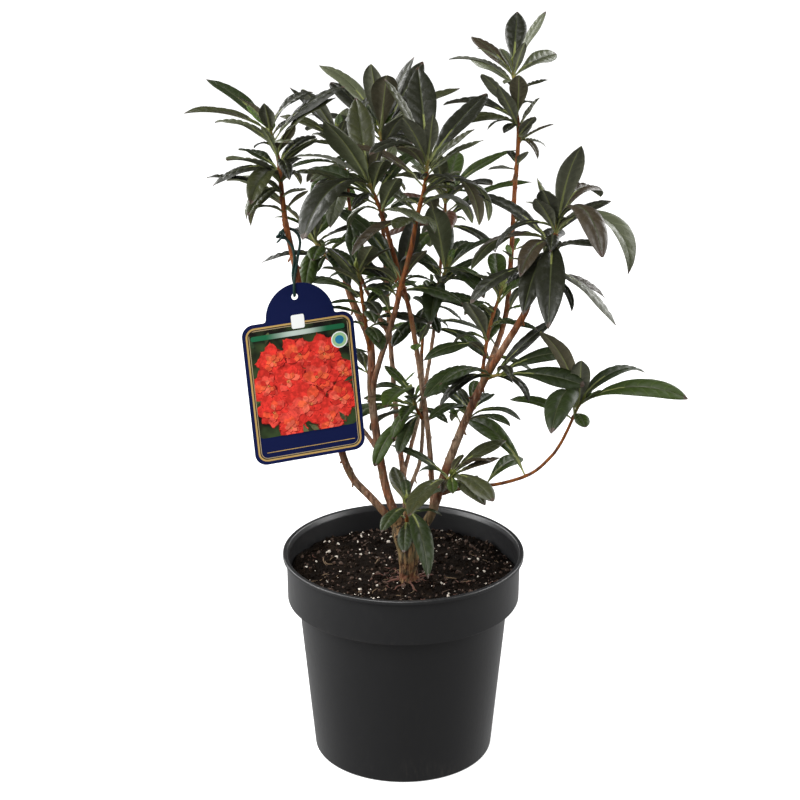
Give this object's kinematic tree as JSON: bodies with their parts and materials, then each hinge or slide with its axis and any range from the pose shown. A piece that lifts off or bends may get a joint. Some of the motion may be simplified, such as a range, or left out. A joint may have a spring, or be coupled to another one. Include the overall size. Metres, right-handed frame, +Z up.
{
  "type": "potted azalea shrub",
  "caption": "Young azalea shrub in a filled nursery pot, with a forked trunk, slim boughs, whorled evergreen leaves and a hang tag on a soft tie.",
  "frame": {"origin": "centre of the pot's flat underside", "axes": "+Z up along the pot's axis, -Y the plant's front, +X to the viewer's right"},
  "size_m": [0.3677, 0.3419, 0.5804],
  "materials": {
    "pot_plastic": "black moulded plastic with a satin sheen",
    "compost": "dark brown peat compost with white perlite and bark fibres, matte",
    "bark": "grey-brown to orange-brown bark, fissured at the trunk's foot",
    "leaf": "dark olive to bronze evergreen leaves with a dull sheen, paler below",
    "tag_card": "navy printed card with a satin face",
    "tie": "dark green soft plant tie"
  },
  "bodies": {
    "root": {"pot": "pot_plastic", "soil": "compost", "trunk": "bark", "bough_left": "bark", "bough_right": "bark", "bough_back": "bark", "bough_far_left": "bark", "bough_centre": "bark", "bough_top_centre": "bark", "bough_top_right": "bark", "bough_low_right": "bark", "bough_middle": "bark", "bough_back_left": "bark", "bough_rear": "bark", "bough_rear_left": "bark", "foliage_top_centre": "leaf", "foliage_top_right": "leaf", "foliage_right": "leaf", "foliage_far_left": "leaf", "foliage_back": "leaf", "foliage_centre": "leaf", "foliage_back_left": "leaf", "foliage_low_right": "leaf", "foliage_inner_right": "leaf", "foliage_right_side": "leaf", "foliage_left": "leaf", "foliage_inner_left": "leaf", "foliage_middle": "leaf", "foliage_inner_centre": "leaf", "foliage_low_middle": "leaf", "foliage_rear": "leaf", "foliage_rear_left": "leaf", "foliage_foot_right": "leaf", "foliage_foot": "leaf", "foliage_right_low": "leaf", "tag": "tag_card", "tie": "tie"}
  },
  "joints": []
}
